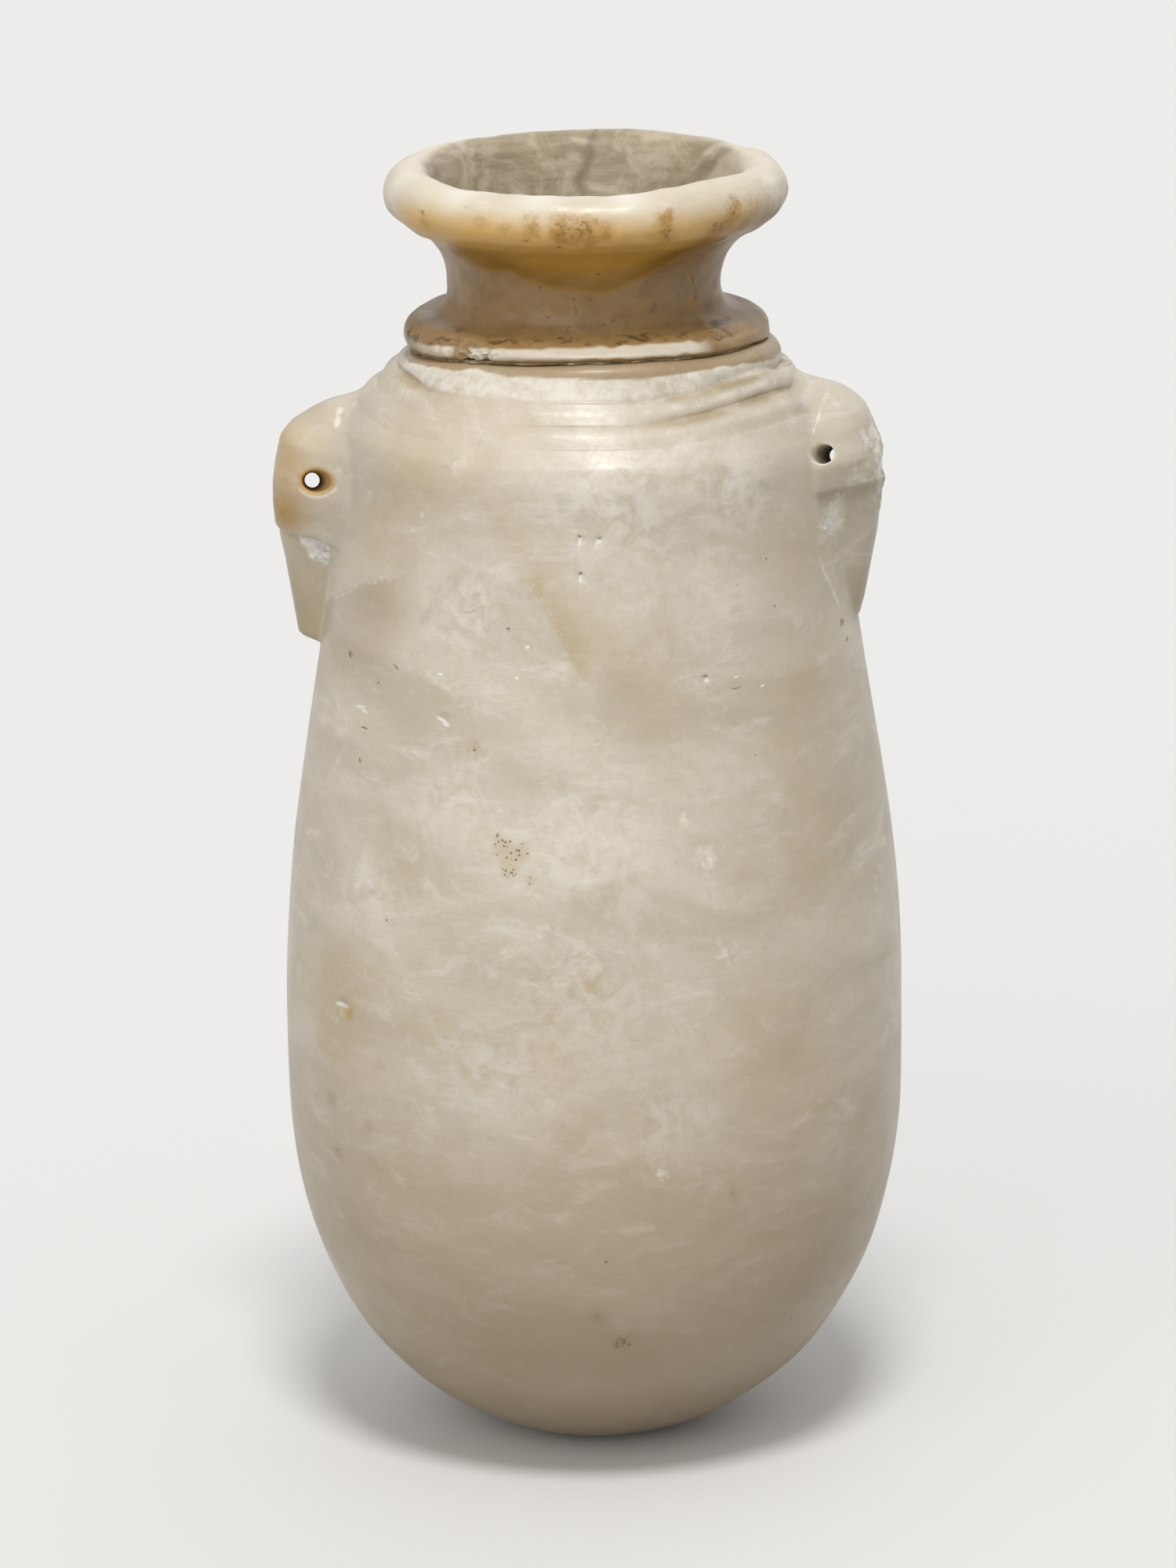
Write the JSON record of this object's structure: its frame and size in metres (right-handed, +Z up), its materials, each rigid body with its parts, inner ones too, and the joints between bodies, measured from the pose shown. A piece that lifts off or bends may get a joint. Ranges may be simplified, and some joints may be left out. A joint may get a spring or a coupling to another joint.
{
  "type": "stone vase",
  "caption": "Tall stone vase with a rounded body, stepped collar, pierced lugs at the shoulder and a separately carved neck with a rolled rim.",
  "frame": {"origin": "centre of the small flat that the vase rests on, at the bottom of the rounded body", "axes": "+Z up along the vase's axis; the two lugs lie on the X axis, the longer one towards -X; +Y is the back"},
  "size_m": [0.1151, 0.1142, 0.2381],
  "materials": {
    "body_stone": "worn polish, slightly translucent",
    "neck_stone": "worn polish with amber and brown stains",
    "mortar": "matt, dirty"
  },
  "bodies": {
    "root": {"vessel_body": "body_stone", "neck_and_rim": "neck_stone", "neck_bedding": "mortar"}
  },
  "joints": []
}
